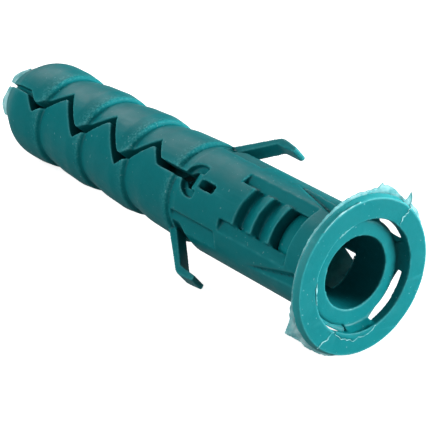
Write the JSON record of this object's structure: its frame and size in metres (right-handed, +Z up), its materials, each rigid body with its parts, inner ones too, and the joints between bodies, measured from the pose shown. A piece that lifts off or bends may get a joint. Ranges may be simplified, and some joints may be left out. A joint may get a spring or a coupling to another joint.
{
  "type": "expansion plug",
  "caption": "Flanged plastic expansion plug for a screw, with a toothed window on each side, bent anti-turn whiskers and a barbed end split by a zigzag slit.",
  "frame": {"origin": "on the floor under the middle of the bounding box, with the plug lying on its flange's rim and its tip", "axes": "+X along the plug towards the flange, which leans up with the sleeve by about three degrees, +Y across it, +Z up from the floor"},
  "size_m": [0.0404, 0.0118, 0.0117],
  "materials": {
    "plug_body": "moulded teal plastic with a soft sheen"
  },
  "bodies": {
    "root": {"plug_body": "plug_body"}
  },
  "joints": []
}
